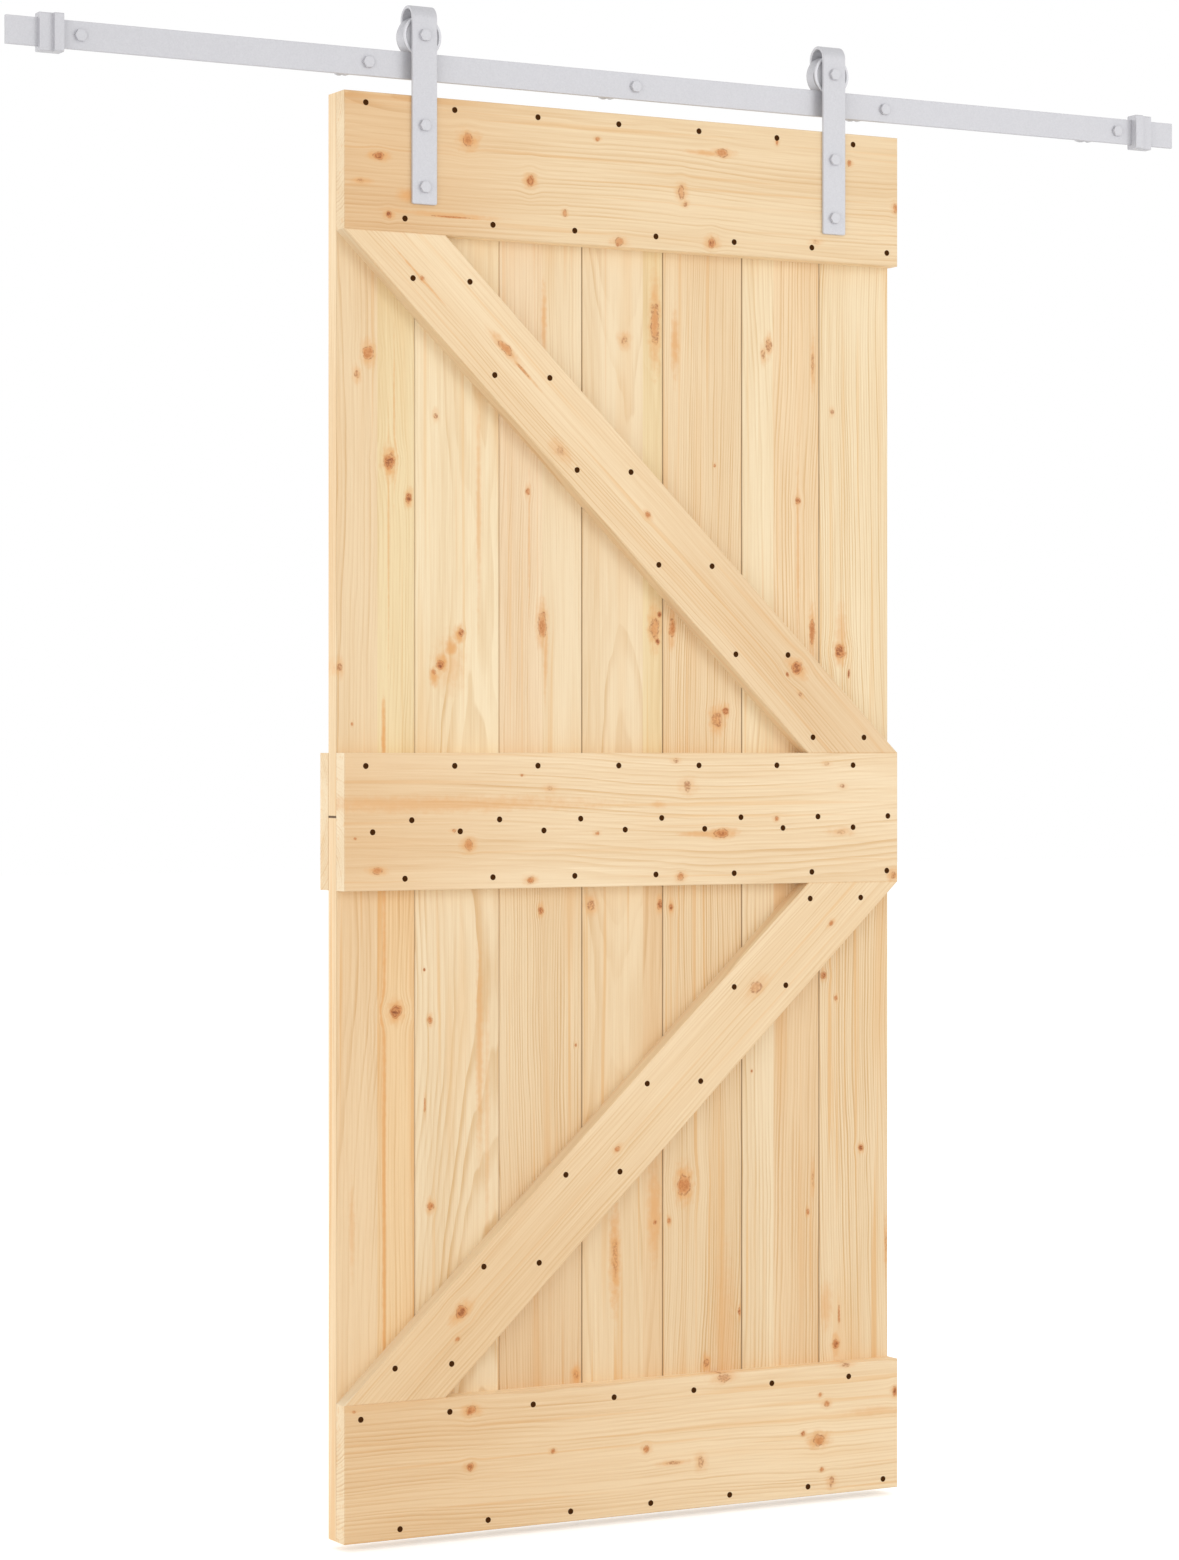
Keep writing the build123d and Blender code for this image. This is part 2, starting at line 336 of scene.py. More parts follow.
def makeKnotWhorl():
    inputs = {
        "Board": "Vector", "Centre": "Vector", "Half Size": "Vector", "Core": "Float", "Halo": "Float",
        "Ragged": "Float", "Core So Far": "Float", "Halo So Far": "Float",
    }
    outputs = {"Board": "Vector", "Core": "Float", "Halo": "Float"}
    group, given, made = newGroup("knotWhorl", inputs, outputs)
    offset = vectorCalc(group, "SUBTRACT", given["Board"], given["Centre"])
    share = vectorCalc(group, "DIVIDE", offset, given["Half Size"])
    ragged = centred(group, given["Ragged"], knotForm["ragged"])
    reach = calc(group, "ADD", vectorCalc(group, "LENGTH", share), ragged)
    core = calc(group, "MULTIPLY", smoothRange(group, reach, *knotForm["core"]), given["Core"])
    longShare = vectorCalc(group, "MULTIPLY", share, knotForm["haloShare"])
    longReach = calc(group, "ADD", vectorCalc(group, "LENGTH", longShare), ragged)
    halo = calc(group, "MULTIPLY", smoothRange(group, longReach, *knotForm["halo"]), given["Halo"])
    # the grain parts around the knot
    near = calc(group, "POWER", calc(group, "MULTIPLY", reach, knotForm["pullShare"]), 2.0)
    fading = calc(group, "EXPONENT", calc(group, "MULTIPLY", near, -1.0))
    pull = calc(group, "MULTIPLY", fading, given["Core"])
    sideways = vectorCalc(group, "MULTIPLY", offset, knotForm["pull"])
    scaled = group.nodes.new("ShaderNodeVectorMath")
    scaled.operation = "SCALE"
    feed(group, scaled.inputs[0], sideways)
    feed(group, scaled.inputs["Scale"], pull)
    feed(group, made["Board"], vectorCalc(group, "SUBTRACT", given["Board"], scaled.outputs["Vector"]))
    feed(group, made["Core"], calc(group, "MAXIMUM", given["Core So Far"], core))
    feed(group, made["Halo"], calc(group, "MAXIMUM", given["Halo So Far"], halo))
    return group


def makePineGrain():
    inputs = {
        "Board": "Vector", "Seed": "Float", "Pith Across": "Float", "Pith Depth": "Float", "Ring Width": "Float",
        "Across": "Float", "Seam": "Float", "Left Tint": "Color", "Right Tint": "Color", "Streaks": "Float",
        "Contrast": "Float", "Core": "Float", "Halo": "Float", "Left Edge": "Float", "Right Edge": "Float",
        "Left Joint": "Float", "Right Joint": "Float", "From End": "Float", "Edge Tint": "Color",
        "Warm": "Float", "Warm Tint": "Color",
    }
    group, given, made = newGroup("pineGrain", inputs, lookOutputs)
    parts = group.nodes.new("ShaderNodeSeparateXYZ")
    feed(group, parts.inputs[0], given["Board"])
    _, depth, across = parts.outputs
    side = calc(group, "GREATER_THAN", given["Across"], given["Seam"])    # two strips glued edge to edge
    seed = calc(group, "ADD", given["Seed"], calc(group, "MULTIPLY", side, pine["stripSeed"]))
    shift = group.nodes.new("ShaderNodeCombineXYZ")
    for socket, factor in zip(shift.inputs, pine["seedShift"]):
        feed(group, socket, calc(group, "MULTIPLY", seed, factor))
    place = vectorCalc(group, "ADD", given["Board"], shift.outputs[0])

    def product(first, second):
        return calc(group, "MULTIPLY", first, second)

    def total(first, second):
        return calc(group, "ADD", first, second)

    def texture(effect, detail, rough=0.5):
        return noise(group, place, grainNoise[effect], detail, rough).outputs["Fac"]

    def ranged(value, effect):
        return smoothRange(group, value, *grainRange[effect])

    # growth rings about a pith line that wanders along the board
    drift = group.nodes.new("ShaderNodeSeparateColor")
    feed(group, drift.inputs[0], noise(group, place, grainNoise["drift"], 1.0).outputs["Color"])
    legs = []
    for coordinate, pith, wander in (
        (across, given["Pith Across"], drift.outputs[0]),
        (depth, given["Pith Depth"], drift.outputs[1]),
    ):
        sway = centred(group, wander, 2 * pine["slowWander"])
        leg = total(calc(group, "SUBTRACT", coordinate, pith), sway)
        legs.append(product(leg, leg))
    radius = calc(group, "SQRT", total(*legs))
    radius = total(radius, centred(group, texture("wiggle", 2.0), pine["fineWander"]))
    ringSpot = group.nodes.new("ShaderNodeCombineXYZ")
    feed(group, ringSpot.inputs[0], total(radius, seed))
    uneven = noise(group, ringSpot.outputs[0], grainNoise["uneven"], 1.0).outputs["Fac"]
    phase = total(calc(group, "DIVIDE", radius, given["Ring Width"]), product(uneven, pine["ringUneven"]))
    turn = calc(group, "FRACT", phase)
    late = product(ranged(turn, "lateRise"), ranged(turn, "lateFall"))
    ring = group.nodes.new("ShaderNodeTexWhiteNoise")
    ring.noise_dimensions = "1D"
    feed(group, ring.inputs["W"], total(calc(group, "FLOOR", phase), seed))
    late = product(late, ranged(ring.outputs["Value"], "ringTone"))
    late = product(late, ranged(texture("fade", 2.0), "fade"))    # rings come and go along the board

    # fibres, broad tones and resin streaks
    fibre = texture("fibre", 3.0, 0.6)
    resin = ranged(texture("resin", 1.0), "resin")
    resin = calc(group, "MAXIMUM", resin, ranged(texture("resinLine", 1.0), "resinLine"))
    tone = product(late, given["Contrast"])
    tone = total(tone, centred(group, fibre, pine["fibreTone"]))
    tone = total(tone, ranged(texture("broad", 2.0), "broad"))
    clamped = group.nodes.new("ShaderNodeClamp")
    feed(group, clamped.inputs[0], tone)
    color = mixed(group, clamped.outputs[0], pine["early"], pine["late"])
    color = mixed(group, product(resin, given["Streaks"]), color, pine["streak"])
    stripTint = mixed(group, side, given["Left Tint"], given["Right Tint"])
    color = mixed(group, 1.0, color, stripTint, "MULTIPLY")
    warmed = mixed(group, 1.0, color, given["Warm Tint"], "MULTIPLY")
    color = mixed(group, given["Warm"], color, warmed)
    color = mixed(group, given["Halo"], color, pine["halo"])

    # a knot: reddish wood inside a thin dark line, with rings and a mottled heart
    core = given["Core"]
    mottle = texture("mottle", 3.0, 0.7)
    ringPhase = total(product(core, pine["knotRings"]), product(mottle, pine["knotRingSway"]))
    line = product(ranged(core, "lineRise"), ranged(core, "lineFall"))
    line = product(line, ranged(mottle, "lineMottle"))
    heart = product(ranged(core, "heart"), ranged(mottle, "heartMottle"))
    heart = product(heart, ranged(calc(group, "SINE", ringPhase), "heartRings"))
    rim = product(ranged(core, "rim"), ranged(mottle, "rimMottle"))
    for share, tint in ((rim, "knotRim"), (line, "knotLine"), (heart, "knotHeart")):
        color = mixed(group, share, color, pine[tint])
    # painted light and shade on edges and ends, from the painted side tint
    color = mixed(group, 1.0, color, given["Edge Tint"], "MULTIPLY")

    # dark lines between planks and at the butt joint
    fromLeft = calc(group, "SUBTRACT", given["Across"], given["Left Edge"])
    fromRight = calc(group, "SUBTRACT", given["Right Edge"], given["Across"])
    for distance, joint in ((fromLeft, given["Left Joint"]), (fromRight, given["Right Joint"])):
        gap = smoothRange(group, distance, *pine["jointSpan"], 1.0, 0.0)
        color = mixed(group, product(gap, joint), color, pine["jointGap"])
    endGap = smoothRange(group, given["From End"], *pine["endSpan"], 1.0, 0.0)
    feed(group, made["Color"], mixed(group, endGap, color, pine["endGap"]))

    rough = calc(group, "SUBTRACT", product(fibre, pine["fibreRough"]), product(late, pine["lateSheen"]))
    rough = calc(group, "SUBTRACT", rough, product(core, pine["knotSheen"]))
    feed(group, made["Roughness"], total(rough, pine["roughness"]))
    height = total(fibre, product(late, pine["lateHeight"]))
    feed(group, made["Height"], total(height, product(core, pine["knotHeight"])))
    return group


# Tints of single strips of pine
plain = (1.0, 1.0, 1.0, 1)
ivory = (1.01, 1.03, 1.06, 1)
cream = (1.0, 1.05, 1.08, 1)
straw = (0.945, 0.96, 0.875, 1)
sand = (0.965, 0.985, 1.0, 1)
tan = (0.95, 0.94, 0.92, 1)
blush = (0.975, 0.975, 1.0, 1)
biscuit = (0.93, 0.91, 0.88, 1)
honey = (0.93, 0.88, 0.825, 1)
amber = (0.945, 0.86, 0.745, 1)
noWarmth = ((-9000, -9000), (-8000, -8000), plain)    # far off the leaf
noSeam = -3000    # mm, for boards of one strip
farOff = 9.0      # metres, past every board

# Each column of planks, from the left: the seam between two strips, in mm from the leaf's left edge, the tints
# left and right of it in the upper and the lower plank, the pith across and through the board from its middle,
# the contrast of the rings and their width, and the knots of both planks. A seam past the plank leaves one strip.
# A knot is mm from the leaf's left edge, mm below its top, its length along the grain and width across it in mm,
# then how strong its core and its halo are. Warm fades from its first spot to its second, in mm right and below.
plankColumns = [
    {
        "seam": 66, "upperTints": (biscuit, straw), "lowerTints": (honey, amber),
        # painted light: the leaf's left side is made lighter still
        "paintedSideShading": 1.26, "pith": (-0.10, 0.06), "contrast": 0.48, "ring": 0.0046,
        "upper": [
            (51, 375, 22, 20, 0.6, 0.8), (33, 407, 16, 12, 0.2, 0.6), (85, 532, 26, 20, 0.95, 1.0),
            (117, 584, 16, 12, 0.95, 0.8), (84, 640, 190, 3, 0.0, 0.5), (93, 470, 130, 3, 0.0, 0.5),
            (6, 833, 16, 12, 0.2, 0.6), (25, 915, 6, 5, 0.6, 0.3), (76, 930, 60, 6, 0.0, 0.9),
        ],
        "lower": [
            (96, 1335, 19, 23, 1.0, 1.0), (77, 1500, 660, 5, 0.0, 0.85), (25, 1650, 70, 8, 0.0, 0.4),
        ],
    },
    {
        "seam": 400, "upperTints": (cream, cream), "lowerTints": (sand, sand),
        "pith": (0.03, 0.13), "contrast": 0.52, "ring": 0.0052,
        "upper": [
            (199, 784, 15, 17, 0.0, 0.95), (203, 780, 13, 11, 0.75, 0.6), (186, 803, 17, 19, 0.0, 0.9),
            (171, 826, 19, 19, 0.0, 1.0), (168, 828, 17, 14, 0.75, 0.6), (159, 846, 15, 14, 0.0, 0.9),
            (160, 838, 9, 8, 0.5, 0.6), (184, 826, 44, 42, 0.0, 0.4), (161, 462, 12, 10, 0.2, 0.5),
            (232, 600, 160, 7, 0.0, 0.5),
        ],
        "lower": [
            (142, 1275, 6, 5, 0.8, 0.3), (152, 1349, 12, 10, 0.6, 0.6), (152, 1622, 13, 13, 0.65, 0.8),
            (143, 1473, 24, 4, 0.5, 0.4), (233, 1400, 160, 10, 0.0, 0.6), (246, 1500, 200, 7, 0.0, 0.35),
        ],
    },
    {
        "seam": 338, "upperTints": (blush, sand), "lowerTints": (biscuit, biscuit),
        "lowerWarm": ((0, 1950), (0, 1300), (0.94, 0.88, 0.83, 1)),
        "pith": (0.16, 0.05), "contrast": 0.48, "ring": 0.0043,
        "upper": [
            (314, 569, 12, 9, 0.9, 0.6), (316, 640, 120, 3, 0.0, 0.5), (338, 767, 40, 18, 0.5, 0.7),
            (343, 812, 70, 6, 0.0, 0.6), (341, 312, 60, 8, 0.0, 0.7),
        ],
        "lower": [
            (336, 1192, 13, 10, 0.8, 0.7), (395, 1394, 6, 5, 0.7, 0.4), (396, 1888, 18, 16, 0.1, 0.9),
        ],
    },
    {
        "seam": 510, "upperTints": (sand, straw), "lowerTints": (tan, honey),
        "pith": (-0.01, 0.12), "contrast": 0.44, "ring": 0.0054,
        "upper": [
            (531, 307, 76, 18, 0.35, 0.8), (478, 336, 15, 20, 0.12, 0.6), (531, 768, 38, 20, 0.3, 0.8),
            (538, 748, 12, 8, 0.75, 0.6), (535, 789, 12, 8, 0.75, 0.6),
        ],
        "lower": [
            (421, 1185, 18, 20, 0.2, 0.6), (540, 1187, 17, 12, 0.8, 0.7), (462, 1717, 84, 16, 0.1, 0.9),
            (530, 1654, 76, 20, 0.0, 0.7), (531, 1667, 10, 8, 0.85, 0.4),
        ],
    },
    {
        "seam": 900, "upperTints": (tan, tan), "lowerTints": (biscuit, biscuit),
        "pith": (0.20, 0.06), "contrast": 0.78, "ring": 0.0040,
        "upper": [
            (566, 338, 52, 12, 0.0, 0.75), (561, 768, 34, 12, 0.6, 0.8), (636, 519, 6, 5, 0.6, 0.4),
            (640, 906, 26, 24, 0.25, 0.85), (654, 893, 13, 13, 0.85, 0.7),
        ],
        "lower": [
            (559, 1191, 12, 10, 0.7, 0.7), (582, 1613, 34, 28, 0.6, 0.9), (556, 1666, 10, 8, 0.5, 0.6),
            (655, 1840, 130, 36, 0.0, 0.35), (680, 1813, 14, 7, 0.8, 0.5), (621, 1886, 16, 14, 0.2, 0.8),
        ],
    },
    {
        "seam": 741, "upperTints": (cream, plain), "lowerTints": (sand, honey),
        "pith": (-0.12, 0.08), "contrast": 0.66, "ring": 0.0046,
        "upper": [
            (732, 331, 22, 13, 0.25, 0.65), (723, 346, 18, 10, 0.15, 0.55), (812, 354, 46, 8, 0.1, 0.6),
            (785, 568, 13, 11, 0.8, 0.7), (785, 640, 160, 5, 0.0, 0.5), (811, 770, 44, 12, 0.55, 0.8),
        ],
        "lower": [
            (702, 1445, 6, 5, 0.7, 0.4), (803, 1666, 10, 7, 0.6, 0.5), (812, 1616, 32, 6, 0.1, 0.6),
        ],
    },
    {
        "seam": 1000, "upperTints": (cream, cream), "lowerTints": (tan, tan),
        "pith": (0.22, 0.05), "contrast": 0.82, "ring": 0.0044,
        "upper": [
            (847, 428, 10, 9, 0.2, 0.4), (862, 799, 24, 21, 0.8, 0.9), (877, 834, 18, 5, 0.8, 0.2),
            (864, 770, 50, 16, 0.0, 0.5),
        ],
        "lower": [
            (831, 1301, 13, 12, 0.8, 0.6), (854, 1337, 9, 7, 0.6, 0.4), (900, 1572, 11, 11, 0.75, 0.7),
            (854, 1874, 18, 14, 0.7, 0.8), (860, 1829, 32, 5, 0.6, 0.3), (836, 1814, 40, 20, 0.0, 0.5),
            (947, 1723, 48, 7, 0.1, 0.7),
        ],
    },
]

levelBoards = {
    "top_batten": {
        "seed": 21, "tints": (tan, tan),
        "warm": ((60, 0), (420, 0), (0.91, 0.81, 0.72, 1)),
        "pith": (0.10, 0.06), "contrast": 0.55, "ring": 0.0060,
        "knots": [
            (54, 92, 20, 13, 0.85, 0.9), (200, 58, 20, 25, 0.5, 0.9), (303, 111, 13, 21, 0.85, 0.8),
            (417, 41, 8, 7, 0.6, 0.5), (361, 155, 7, 12, 0.4, 0.5), (71, 176, 10, 12, 0.75, 0.7),
            (100, 147, 16, 16, 0.0, 0.8), (26, 130, 18, 9, 0.1, 0.6), (160, 170, 95, 6, 0.0, 0.6),
            (172, 173, 70, 3, 0.6, 0.7), (453, 192, 18, 14, 0.4, 0.6), (451, 195, 7, 6, 0.9, 0.4),
            (561, 110, 12, 26, 0.3, 0.6), (568, 126, 9, 12, 0.2, 0.5), (632, 46, 24, 14, 0.45, 0.65),
            (604, 48, 44, 7, 0.0, 0.7), (615, 182, 15, 20, 0.8, 0.8), (730, 22, 6, 12, 0.6, 0.5),
            (861, 46, 9, 12, 0.6, 0.5), (946, 109, 10, 19, 0.5, 0.7), (800, 171, 16, 10, 0.1, 0.4),
        ],
    },
    "middle_batten": {
        "seed": 34, "tints": (ivory, ivory),
        "warm": ((-60, 0), (460, 0), (0.88, 0.775, 0.67, 1)),
        "pith": (-0.09, 0.06), "contrast": 0.55, "ring": 0.0056,
        "knots": [
            (52, 1128, 21, 12, 0.45, 0.7), (201, 1092, 14, 19, 0.45, 0.8), (303, 1145, 13, 13, 0.6, 0.7),
            (336, 1009, 15, 12, 0.1, 0.4), (289, 990, 6, 5, 0.5, 0.3), (417, 1077, 8, 7, 0.6, 0.5),
            (17, 1081, 6, 5, 0.6, 0.3), (177, 1071, 9, 7, 0.4, 0.4), (145, 1032, 290, 20, 0.0, 0.5),
            (572, 1007, 17, 22, 0.2, 0.4), (552, 969, 11, 9, 0.15, 0.3), (820, 974, 11, 9, 0.15, 0.3),
            (848, 1008, 12, 9, 0.15, 0.3), (632, 1079, 28, 15, 0.65, 0.9), (600, 1080, 46, 7, 0.0, 0.7),
            (730, 1058, 8, 9, 0.6, 0.5), (846, 1079, 26, 12, 0.1, 0.5), (560, 1143, 13, 14, 0.5, 0.6),
            (521, 1035, 16, 9, 0.0, 0.5), (943, 1147, 12, 19, 0.2, 0.8),
        ],
    },
    "bottom_batten": {
        "seed": 55, "tints": (plain, plain),
        "warm": ((-60, 0), (800, 0), (0.905, 0.825, 0.74, 1)),
        "pith": (0.12, 0.05), "contrast": 0.58, "ring": 0.0054,
        "knots": [
            (205, 1922, 19, 16, 0.65, 0.8), (203, 2004, 12, 14, 0.75, 0.7), (341, 1993, 8, 9, 0.5, 0.5),
            (15, 1909, 6, 5, 0.5, 0.3), (500, 2003, 11, 14, 0.6, 0.6), (548, 2028, 34, 8, 0.15, 0.55),
            (596, 2031, 13, 24, 0.15, 0.5), (806, 2015, 23, 23, 0.45, 0.9), (820, 1960, 11, 12, 0.6, 0.6),
            (808, 1946, 6, 9, 0.5, 0.4), (777, 2003, 9, 9, 0.8, 0.5), (811, 2060, 8, 9, 0.6, 0.4),
            (829, 2081, 12, 20, 0.25, 0.5), (636, 1906, 26, 18, 0.25, 0.5), (855, 1903, 20, 8, 0.15, 0.4),
            (945, 1950, 10, 16, 0.7, 0.6), (907, 1978, 50, 12, 0.0, 0.3),
        ],
    },
    "back_batten": {
        "seed": 89, "tints": (plain, plain),
        "pith": (0.02, 0.10), "contrast": 0.50, "ring": 0.0056,
        "knots": [
            (140, 1040, 20, 16, 0.6, 0.8), (355, 1110, 12, 12, 0.7, 0.6), (520, 1005, 9, 8, 0.6, 0.5),
            (690, 1092, 24, 18, 0.6, 0.8), (860, 1030, 10, 10, 0.7, 0.5),
        ],
    },
}

plankRows = {
    "upper": {"seed": 0, "contrast": 1.0, "streaks": 0.45},
    "lower": {"seed": 40, "contrast": 1.45, "streaks": 0.75},
}
plankSeedStep = 3
plankTongue = 7 * mm
plankJoints = (0.0, 0.4, 0.35, 0.8, 0.8, 0.85, 0.7, 0.0)    # how dark the lines between planks are
braceFoot = 163 * mm    # width of a brace's level cut
diagonalBoards = {
    "upper_brace": {
        # painted shade: the brace's sides are made darker than its face
        "seed": 13, "tints": (plain, plain), "falls": 1, "paintedSideShading": 0.97,
        "warm": ((800, 900), (420, 540), (0.92, 0.875, 0.83, 1)),
        "pith": (0.15, 0.05), "contrast": 0.42, "ring": 0.0045,
        "knots": [
            (125, 265, 9, 8, 0.6, 0.5), (118, 260, 70, 3, 0.0, 0.75), (291, 392, 36, 5, 0.3, 0.8),
            (261, 360, 36, 14, 0.42, 0.8), (353, 509, 25, 20, 0.1, 0.5), (503, 599, 11, 10, 0.6, 0.6),
            (766, 827, 23, 21, 0.8, 0.9), (752, 833, 9, 7, 0.7, 0.4), (772, 867, 10, 9, 0.2, 0.4),
        ],
    },
    "lower_brace": {
        # painted shade: the brace's sides are made darker than its face
        "seed": 8, "tints": (plain, plain), "falls": -1, "paintedSideShading": 0.97,
        "warm": ((120, 1830), (560, 1420), (0.91, 0.84, 0.76, 1)),
        "pith": (-0.16, 0.06), "contrast": 0.42, "ring": 0.0045,
        "knots": [
            (828, 1220, 11, 10, 0.6, 0.6), (693, 1314, 27, 22, 0.28, 0.45), (450, 1550, 11, 10, 0.6, 0.6),
            (189, 1776, 22, 20, 0.8, 0.9), (182, 1815, 9, 7, 0.5, 0.4),
        ],
    },
}


def boardPlace(right, below, turn):    # a spot on the leaf, in a board's own coordinates
    x = leafLeft + right * mm
    z = leafTop - below * mm
    return x * math.cos(turn) + z * math.sin(turn), z * math.cos(turn) - x * math.sin(turn)


def pineBoard(name, turn, board, knots):
    material, tree, shader, objectPlace = newMaterial("pine_" + name)
    mapping = tree.nodes.new("ShaderNodeMapping")
    mapping.inputs["Rotation"].default_value = (0, turn, 0)
    feed(tree, mapping.inputs["Vector"], objectPlace)
    boardSpot = mapping.outputs["Vector"]
    ragged = noise(tree, boardSpot, grainNoise["ragged"], 2.0).outputs["Fac"]
    whorl = {"Board": boardSpot, "Core": 0.0, "Halo": 0.0}
    for right, below, length, width, core, halo in knots:
        along, across = boardPlace(right, below, turn)
        whorl = placeGroup(tree, knotWhorl, {
            "Board": whorl["Board"],
            "Centre": (along, 0, across),
            "Half Size": (length / 2 * mm, knotForm["halfDepth"], width / 2 * mm),
            "Core": core,
            "Halo": halo,
            "Ragged": ragged,
            "Core So Far": whorl["Core"],
            "Halo So Far": whorl["Halo"],
        })
    low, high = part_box(name)
    middle = (low + high) / 2
    acrossMiddle = middle.z * math.cos(turn) - middle.x * math.sin(turn)
    spot = tree.nodes.new("ShaderNodeSeparateXYZ")
    feed(tree, spot.inputs[0], boardSpot)
    leftEdge, rightEdge = board.get("edges", (-farOff, farOff))
    leftJoint, rightJoint = board.get("joints", (0.0, 0.0))
    warmFrom, warmTo, warmTint = board.get("warm", noWarmth)
    warmSpan = [boardPlace(*spotOnLeaf, turn)[0] for spotOnLeaf in (warmFrom, warmTo)]
    warmth = smoothRange(tree, spot.outputs[0], *warmSpan, 1.0, 0.0)
    front = frontShare(tree)
    # painted side shading: lighter or darker on edges and ends, fading in from the front faces
    paintedSideTint = [board.get("paintedSideShading", pine["paintedSideShading"]) * share for share in pine["paintedSideTint"]] + [1]
    pastEnd = calc(tree, "SUBTRACT", spot.outputs[0], board.get("end", -farOff))
    grain = placeGroup(tree, pineGrain, {
        "Board": whorl["Board"],
        "Across": spot.outputs[2],
        "Left Edge": leftEdge,
        "Right Edge": rightEdge,
        "Left Joint": leftJoint,
        "Right Joint": rightJoint,
        "From End": calc(tree, "ABSOLUTE", pastEnd),
        "Edge Tint": mixed(tree, smoothRange(tree, front, *edgeTurn), paintedSideTint, plain),
        "Warm": calc(tree, "MULTIPLY", warmth, front),
        "Warm Tint": warmTint,
        "Contrast": board["contrast"],
        "Seed": board["seed"],
        "Pith Across": acrossMiddle + board["pith"][0],
        "Pith Depth": middle.y + board["pith"][1],
        "Ring Width": board["ring"],
        "Seam": boardPlace(board.get("seam", noSeam), 0, turn)[1],
        "Left Tint": board["tints"][0],
        "Right Tint": board["tints"][1],
        "Streaks": board.get("streaks", pine["streaks"]),
        "Core": whorl["Core"],
        "Halo": whorl["Halo"],
    })
    feed(tree, shader.inputs["Base Color"], grain["Color"])
    feed(tree, shader.inputs["Roughness"], grain["Roughness"])
    shader.inputs["Specular IOR Level"].default_value = pine["specular"]
    addBump(tree, shader, grain["Height"], pine["bumpDepth"], pine["bumpStrength"])
    dress(name, material)


def dress(nodeName, material):
    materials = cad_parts[nodeName].data.materials
    materials.clear()
    materials.append(material)


def dressLeaf():
    quarter = math.radians(-90)
    for number, column in enumerate(plankColumns, 1):
        for row, look in plankRows.items():
            name = f"{row}_plank_{number}"
            tongue = 0.0 if number == len(plankColumns) else plankTongue
            pineBoard(name, quarter, column | {
                "seed": number * plankSeedStep + look["seed"],
                "tints": column[row + "Tints"],
                "contrast": column["contrast"] * look["contrast"],
                "warm": column.get(row + "Warm", noWarmth),
                "streaks": look["streaks"],
                "end": -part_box("lower_plank_1")[1].z,
                "edges": (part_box(name)[0].x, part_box(name)[1].x - tongue),
                "joints": plankJoints[number - 1:number + 1],
            }, column[row])
    for name, board in levelBoards.items():
        pineBoard(name, 0.0, board, board["knots"])
    for name, board in diagonalBoards.items():
        low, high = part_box(name)
        fall = math.atan2(high.z - low.z, high.x - low.x - braceFoot)
        pineBoard(name, -board["falls"] * fall, board, board["knots"])


# Dark screw heads in battens and braces, with a six-lobed drive
leafScrews = {
    "radius": 4.5 * mm,
    "proud": 0.45 * mm,
    "sunk": 0.1 * mm,
    "topShare": 0.88,        # the head's top, as a share of its radius
    "recessShare": 0.42,
    "lobeShare": 0.7,        # how far the drive is drawn in between its lobes
    "recessSlope": 0.12 * mm,
    "recessDepth": 0.32 * mm,
    "segments": 24,
    "lobeSegments": 4,       # makes six lobes
    "dark": (0.046, 0.015, 0.003, 1),
    "light": (0.072, 0.026, 0.006, 1),
    "mottle": (900.0, 900.0, 900.0),
    "roughness": (0.66, 0.82),
    "specular": 0.02,
    "bumpDepth": 0.00008,
    "bumpStrength": 0.4,
    # rows across a batten, in mm from the leaf's left edge
    "highRow": (34, 178, 316, 453, 592, 730, 868),
    "lowRow": (97, 241, 378, 517, 654, 793, 930),
    "aboveJoint": (108, 252, 388, 527, 666, 804, 932),
    "belowJoint": (45, 187, 326, 464, 602, 741, 868),
    "footHighRow": (26, 170, 308, 445, 583, 721, 860),
    "footLowRow": (89, 233, 371, 508, 646, 786, 923),
    # pairs across a brace: mm below the leaf's top, then mm from the left edge
    "upperPairs": (
        (266, 110, 203), (401, 244, 336), (536, 382, 474), (674, 522, 615), (807, 657, 750), (933, 795, 888),
    ),
    "lowerPairs": (
        (1181, 790, 882), (1313, 654, 746), (1454, 502, 595), (1584, 363, 455), (1712, 226, 318), (1851, 81, 173),
    ),
}

# The rows of each batten, with their mm below its top
battenScrews = {
    "topBattenScrews": ("top_batten", (16, "highRow"), (180, "lowRow")),
    "middleBattenScrews": (
        "middle_batten", (19, "highRow"), (98, "aboveJoint"), (115, "belowJoint"), (183, "lowRow"),
    ),
    "bottomBattenScrews": ("bottom_batten", (21, "footHighRow"), (185, "footLowRow")),
}


def screwHead(bm, right, below):
    size = leafScrews
    height = size["proud"] + size["sunk"]
    centre = Vector((leafLeft + right * mm, leafFront + size["sunk"] - height / 2, leafTop - below * mm))
    turned = Matrix.Translation(centre) @ Matrix.Rotation(math.radians(90), 4, "X")
    made = bmesh.ops.create_cone(
        bm, cap_ends=True, segments=size["segments"], radius1=size["radius"],
        radius2=size["radius"] * size["topShare"], depth=height, matrix=turned,
    )
    faces = {face for vert in made["verts"] for face in vert.link_faces}
    top = min(faces, key=lambda face: face.calc_center_median().y)
    rim = size["radius"] * (size["topShare"] - size["recessShare"])
    bmesh.ops.inset_region(bm, faces=[top], thickness=rim)
    for index, vert in enumerate(top.verts):
        if index % size["lobeSegments"] < size["lobeSegments"] / 2:
            vert.co = centre + (vert.co - centre) * Vector((size["lobeShare"], 1.0, size["lobeShare"]))
    bmesh.ops.inset_region(bm, faces=[top], thickness=size["recessSlope"], depth=-size["recessDepth"])


def screwBoard(name, places, material):
    bm = bmesh.new()
    for right, below in places:
        screwHead(bm, right, below)
    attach(meshObject(bm, name, material), "door")


